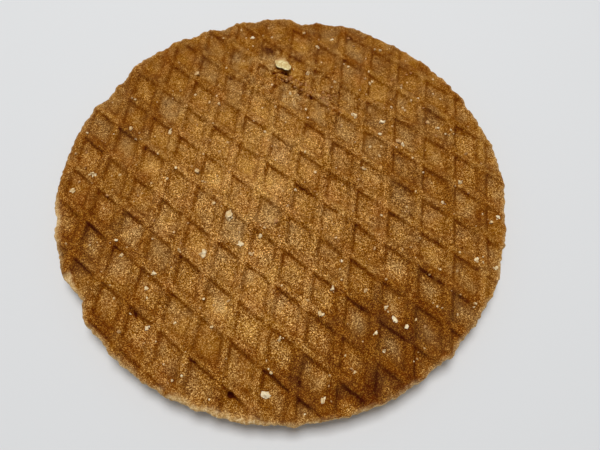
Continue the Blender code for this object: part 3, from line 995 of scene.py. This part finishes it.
def loose_crumbs():
    """All the crumbs as one mesh.

    Each is a small ball of rings, pushed in and out by random numbers, stretched, turned, and set with its
    lower part in the crust. A large one has up to five smaller ones against it. The small ones are strewn
    evenly, though not on the burst bubble, and some lie along the torn crust before the flake.
    """
    random = np.random.default_rng(95)
    spots = []
    for centre_x, centre_y, size in sum(LARGE_CRUMBS.values(), []):
        spots.append((centre_x, centre_y, size * LARGEST_IN_HEAP))
        for _ in range(random.integers(1, HEAP_CRUMBS)):
            turn = random.uniform(0.0, 2.0 * math.pi)
            gap = size * random.uniform(0.35, 1.15)
            beside = (centre_x + gap * math.cos(turn), centre_y + gap * math.sin(turn))
            spots.append((*beside, size * random.uniform(0.20, 0.50)))
    in_heaps = len(spots)
    radius = CRUMBLY_RADIUS * np.sqrt(random.uniform(0.0, 1.0, SMALL_CRUMBS))
    turn = random.uniform(0.0, 2.0 * math.pi, SMALL_CRUMBS)
    size = SMALL_CRUMB_SIZE * np.exp(random.normal(0.0, SMALL_CRUMB_SPREAD, SMALL_CRUMBS))
    small = np.column_stack([radius * np.cos(turn), radius * np.sin(turn), size])
    bubble_x, bubble_y = HOLLOWS["burst bubble"][:2]
    small = small[np.hypot(small[:, 0] - bubble_x, small[:, 1] - bubble_y) > BUBBLE_CLEARANCE]
    line = random.uniform(0.0, 1.0, LINE_CRUMBS)
    by_flake = np.column_stack([
        LINE_START[0] + LINE_RUN[0] * line + random.normal(0.0, LINE_SCATTER, LINE_CRUMBS),
        LINE_START[1] + LINE_RUN[1] * line + random.normal(0.0, LINE_SCATTER, LINE_CRUMBS),
        random.uniform(0.12, 0.34, LINE_CRUMBS),
    ])
    spots = np.concatenate([np.array(spots), small, by_flake])
    spots[:, 2] = np.clip(spots[:, 2], *CRUMB_SIZES)

    count = len(spots)
    x, y = spots[:, 0] * MM, spots[:, 1] * MM
    depth, _ = top_relief(x, y, RIM_RADIUS - np.hypot(x, y))
    fall = np.linspace(0.0, math.pi, CRUMB_RINGS + 2)[1:-1]
    spin = np.linspace(0.0, 2.0 * math.pi, CRUMB_TURNS, endpoint=False)
    ball = np.stack([
        np.outer(np.sin(fall), np.cos(spin)),
        np.outer(np.sin(fall), np.sin(spin)),
        np.outer(np.cos(fall), np.ones(CRUMB_TURNS)),
    ], axis=-1).reshape(-1, 3)
    ball = np.concatenate([ball, [[0.0, 0.0, 1.0], [0.0, 0.0, -1.0]]])
    push = random.uniform(0.36, 1.46, (count, len(ball), 1))
    stretch = random.uniform(0.65, 1.35, (count, 1, 3)) * [1.0, 1.0, CRUMB_FLATNESS]
    lumps = ball[None] * push * stretch * spots[:, 2][:, None, None]
    heading = random.uniform(0.0, 2.0 * math.pi, count)[:, None]
    right = lumps[:, :, 0] * np.cos(heading) - lumps[:, :, 1] * np.sin(heading)
    away = lumps[:, :, 0] * np.sin(heading) + lumps[:, :, 1] * np.cos(heading)
    lift = CRUMB_LIFT * spots[:, 2][:, None]
    points = np.stack([
        CUTTER_CENTRE[0] + (spots[:, 0][:, None] + right) * MM,
        CUTTER_CENTRE[1] + (spots[:, 1][:, None] + away) * MM,
        (TOP_CREST - depth)[:, None] + (lumps[:, :, 2] + lift) * MM,
    ], axis=-1)
    rings = np.arange(CRUMB_RINGS * CRUMB_TURNS).reshape(CRUMB_RINGS, CRUMB_TURNS)
    low_fan = turned_over(fan(len(ball) - 1, rings[-1]))
    one = [between_rings(rings), fan(len(ball) - 2, rings[0]), low_fan]
    starts = (np.arange(count) * len(ball))[:, None, None]
    faces = [(starts + part[None]).reshape(-1, part.shape[1]) for part in one]
    pale = random.uniform(0.10, 0.75, count)
    pale[-LINE_CRUMBS:] = random.uniform(-0.15, 0.20, LINE_CRUMBS)
    pale[:in_heaps] = random.uniform(0.42, 0.90, in_heaps)
    fields = {"pale": np.repeat(pale, len(ball))}
    return new_piece("crumbs", points.reshape(-1, 3), faces, fields, smooth=False)


CRUMB_PALE_STOPS = [(0.10, 168, 114, 62), (0.40, 210, 174, 118), (0.70, 232, 208, 160), (1.00, 250, 236, 200)]
crumbs = loose_crumbs()
crumbs.data.materials.append(crumb_finish("loose_crumb", CRUMB_PALE_STOPS))
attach(crumbs, "root")

# Floor. It is a plain pale sheet, flat and matt, that the waffle lies on. It belongs to the picture, not to
# the waffle, and goes on far past it on all sides.
FLOOR_HALF = 1.5
FLOOR_COLOUR = (0.76, 0.77, 0.78, 1.0)
corners = FLOOR_HALF * np.array([[-1, -1, 0], [1, -1, 0], [1, 1, 0], [-1, 1, 0]])
floor = new_piece("floor", corners, [np.array([[0, 1, 2, 3]])], {}, smooth=False)
floor_finish = Finish("pale_floor", {"Base Color": FLOOR_COLOUR, "Roughness": 0.9, "Specular IOR Level": 0.1})
floor.data.materials.append(floor_finish.material)

# Light. It is one broad soft lamp, high beyond the far rim, and pale light from all round. The lamp leaves
# the near side of each ridge a little darker.
LAMP_PLACE = Vector((-0.02, 0.15, 0.68))
LAMP_WIDTH = 0.30
LAMP_POWER = 3.7
SKY_STRENGTH = 0.25
lamp_data = bpy.data.lights.new("lamp", "AREA")
lamp_data.size = LAMP_WIDTH
lamp_data.energy = LAMP_POWER
lamp = in_scene("lamp", lamp_data)
lamp_turn = (-LAMP_PLACE).to_track_quat("-Z", "Y").to_matrix().to_4x4()
lamp.matrix_world = Matrix.Translation(LAMP_PLACE) @ lamp_turn
world = bpy.data.worlds.new("world")
world.use_nodes = True
sky = world.node_tree.nodes["Background"].inputs
sky["Color"].default_value = (1.0, 1.0, 1.0, 1.0)
sky["Strength"].default_value = SKY_STRENGTH
bpy.context.scene.world = world
bpy.context.scene.view_settings.view_transform = "Standard"

# Camera. It stands close above the near rim and leans a little to the far side, as a telephone held over the
# waffle does. Its place comes from the rim's ellipse in the photo. Its focal length is in the photo's pixels.
PHOTO_WIDTH = 600
FOCAL_PIXELS = 485.0
SENSOR_WIDTH = 36.0
CAMERA_LEAN = math.radians(23.618)
CAMERA_ROLL = math.radians(2.749)
CAMERA_DISTANCE = 0.10452
AIM_FROM_CENTRE = (0.00406, -0.00984)
NEAREST_SEEN = 0.005
FARTHEST_SEEN = 10.0
AIM = Vector((*(CUTTER_CENTRE + AIM_FROM_CENTRE), TOP_CREST))
forward = Vector((0.0, math.sin(CAMERA_LEAN), -math.cos(CAMERA_LEAN)))
level_right = Vector((1.0, 0.0, 0.0))
level_up = level_right.cross(forward)
camera_right = math.cos(CAMERA_ROLL) * level_right + math.sin(CAMERA_ROLL) * level_up
camera_up = math.cos(CAMERA_ROLL) * level_up - math.sin(CAMERA_ROLL) * level_right
camera_data = bpy.data.cameras.new("camera")
camera_data.sensor_width = SENSOR_WIDTH
camera_data.lens = SENSOR_WIDTH * FOCAL_PIXELS / PHOTO_WIDTH
camera_data.clip_start = NEAREST_SEEN
camera_data.clip_end = FARTHEST_SEEN
camera = in_scene("camera", camera_data)
camera_turn = Matrix((camera_right, camera_up, -forward)).transposed().to_4x4()
camera.matrix_world = Matrix.Translation(AIM - CAMERA_DISTANCE * forward) @ camera_turn
bpy.context.scene.camera = camera
